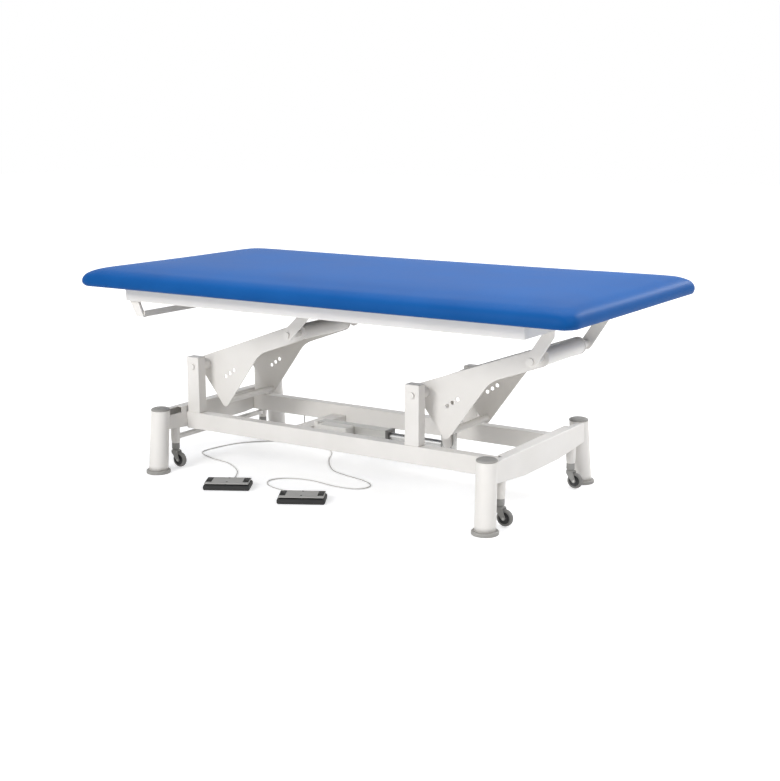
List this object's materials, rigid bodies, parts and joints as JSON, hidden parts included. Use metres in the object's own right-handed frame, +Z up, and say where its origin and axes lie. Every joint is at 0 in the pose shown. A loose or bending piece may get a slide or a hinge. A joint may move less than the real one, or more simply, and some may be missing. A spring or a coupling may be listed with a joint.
{
  "type": "bobath table",
  "caption": "Wide padded treatment table on a parallelogram lift with an electric actuator, foot switches, cylindrical legs and castors that lower for moving.",
  "frame": {"origin": "plan centre of the pad, on the floor", "axes": "+X along the pad towards the arms' noses, +Y across the pad away from the foot switches, +Z up"},
  "size_m": [1.9, 1, 0.7325],
  "materials": {
    "vinyl": "satin",
    "plywood": "matte",
    "steel": "satin",
    "grey_plastic": "matte",
    "castor_rubber": "matte",
    "fork_grey": "satin",
    "black_plastic": "matte",
    "cord_jacket": "matte",
    "pale_plastic": "matte",
    "white_plastic": "satin",
    "white_paint": "satin"
  },
  "bodies": {
    "base": {"base_rail_near": "white_paint", "base_rail_far": "white_paint", "base_cross_member": "white_paint", "end_beam_left": "white_paint", "end_beam_right": "white_paint", "lower_shaft_left": "steel", "lower_shaft_right": "steel", "actuator_profile": "pale_plastic", "actuator_motor": "white_plastic", "control_box": "pale_plastic", "switch_base_one": "black_plastic", "switch_base_two": "black_plastic", "switch_cord_one": "cord_jacket", "switch_cord_two": "cord_jacket", "post_near_left": "white_paint", "post_near_right": "white_paint", "post_far_left": "white_paint", "post_far_right": "white_paint", "leg_near_left": "white_paint", "leg_near_right": "white_paint", "leg_far_left": "white_paint", "leg_far_right": "white_paint", "foot_ring_near_left": "grey_plastic", "foot_ring_near_right": "grey_plastic", "foot_ring_far_left": "grey_plastic", "foot_ring_far_right": "grey_plastic"},
    "arms_left": {"arm_plate_near_left": "white_paint", "arm_plate_far_left": "white_paint", "arm_web_left": "white_paint", "arm_hub_tube_left": "white_paint", "arm_tie_bar_left": "white_paint"},
    "arms_right": {"arm_plate_near_right": "white_paint", "arm_plate_far_right": "white_paint", "arm_web_right": "white_paint", "arm_hub_tube_right": "white_paint", "arm_tie_bar_right": "white_paint"},
    "top": {"top_rail_near": "white_paint", "top_rail_far": "white_paint", "top_end_left": "white_paint", "hanger_left": "white_paint", "hanger_right": "white_paint", "upper_shaft_left": "steel", "upper_shaft_right": "steel", "roll_holder": "white_paint", "pad_board": "plywood", "pad": "vinyl"},
    "rod": {"actuator_rod": "steel"},
    "castor_bar_left": {"castor_bar_left": "white_paint"},
    "castor_fork_near_left": {"castor_fork_near_left": "fork_grey"},
    "castor_wheel_near_left": {"castor_wheel_near_left": "castor_rubber"},
    "castor_fork_far_left": {"castor_fork_far_left": "fork_grey"},
    "castor_wheel_far_left": {"castor_wheel_far_left": "castor_rubber"},
    "castor_bar_right": {"castor_bar_right": "white_paint"},
    "castor_fork_near_right": {"castor_fork_near_right": "fork_grey"},
    "castor_wheel_near_right": {"castor_wheel_near_right": "castor_rubber"},
    "castor_fork_far_right": {"castor_fork_far_right": "fork_grey"},
    "castor_wheel_far_right": {"castor_wheel_far_right": "castor_rubber"},
    "rocker_one": {"switch_rocker_one": "pale_plastic"},
    "rocker_two": {"switch_rocker_two": "pale_plastic"}
  },
  "joints": [
    {"name": "lift", "type": "hinge", "parent": "base", "child": "arms_right", "pos_m": [0.2545, 0, 0.368], "axis": [0, -1, 0], "range_deg": [-34, 36]},
    {"name": "left_arm_swing", "type": "hinge", "parent": "base", "child": "arms_left", "pos_m": [-0.6705, 0, 0.368], "axis": [0, -1, 0], "range_deg": [-34.5, 36.5]},
    {"name": "top_level", "type": "hinge", "parent": "arms_right", "child": "top", "pos_m": [0.67432, 0, 0.51856], "axis": [0, -1, 0], "range_deg": [-36.5, 34.5]},
    {"name": "rod_extend", "type": "slide", "parent": "base", "child": "rod", "axis": [1, 0, 0], "range_m": [-0.112, 0.1185]},
    {"name": "castor_lower_left", "type": "slide", "parent": "base", "child": "castor_bar_left", "axis": [0, 0, -1], "range_m": [0, 0.0135]},
    {"name": "swivel_near_left", "type": "hinge", "parent": "castor_bar_left", "child": "castor_fork_near_left", "pos_m": [-0.7245, -0.255, 0.08], "axis": [0, 0, 1], "continuous": true},
    {"name": "roll_near_left", "type": "hinge", "parent": "castor_fork_near_left", "child": "castor_wheel_near_left", "pos_m": [-0.7065, -0.255, 0.03], "axis": [0, 1, 0], "continuous": true},
    {"name": "swivel_far_left", "type": "hinge", "parent": "castor_bar_left", "child": "castor_fork_far_left", "pos_m": [-0.7245, 0.255, 0.08], "axis": [0, 0, 1], "continuous": true},
    {"name": "roll_far_left", "type": "hinge", "parent": "castor_fork_far_left", "child": "castor_wheel_far_left", "pos_m": [-0.7065, 0.255, 0.03], "axis": [0, 1, 0], "continuous": true},
    {"name": "castor_lower_right", "type": "slide", "parent": "base", "child": "castor_bar_right", "axis": [0, 0, -1], "range_m": [0, 0.0135]},
    {"name": "swivel_near_right", "type": "hinge", "parent": "castor_bar_right", "child": "castor_fork_near_right", "pos_m": [0.6045, -0.255, 0.08], "axis": [0, 0, 1], "continuous": true},
    {"name": "roll_near_right", "type": "hinge", "parent": "castor_fork_near_right", "child": "castor_wheel_near_right", "pos_m": [0.6225, -0.255, 0.03], "axis": [0, 1, 0], "continuous": true},
    {"name": "swivel_far_right", "type": "hinge", "parent": "castor_bar_right", "child": "castor_fork_far_right", "pos_m": [0.6045, 0.255, 0.08], "axis": [0, 0, 1], "continuous": true},
    {"name": "roll_far_right", "type": "hinge", "parent": "castor_fork_far_right", "child": "castor_wheel_far_right", "pos_m": [0.6225, 0.255, 0.03], "axis": [0, 1, 0], "continuous": true},
    {"name": "rocker_tilt_one", "type": "hinge", "parent": "base", "child": "rocker_one", "pos_m": [-0.386, -0.373, 0.0222], "axis": [-0.4924, 0.8704, 0], "range_deg": [-2.5, 2.5], "stiffness_Nm_per_rad": 0.6},
    {"name": "rocker_tilt_two", "type": "hinge", "parent": "base", "child": "rocker_two", "pos_m": [-0.074, -0.369, 0.0222], "axis": [-0.4924, 0.8704, 0], "range_deg": [-2.5, 2.5], "stiffness_Nm_per_rad": 0.6}
  ],
  "couplings": [
    {"joint": "left_arm_swing", "follows": "lift", "ratio": 1},
    {"joint": "top_level", "follows": "lift", "ratio": -1},
    {"joint": "rod_extend", "follows": "lift", "m_per_rad": 0.187}
  ]
}
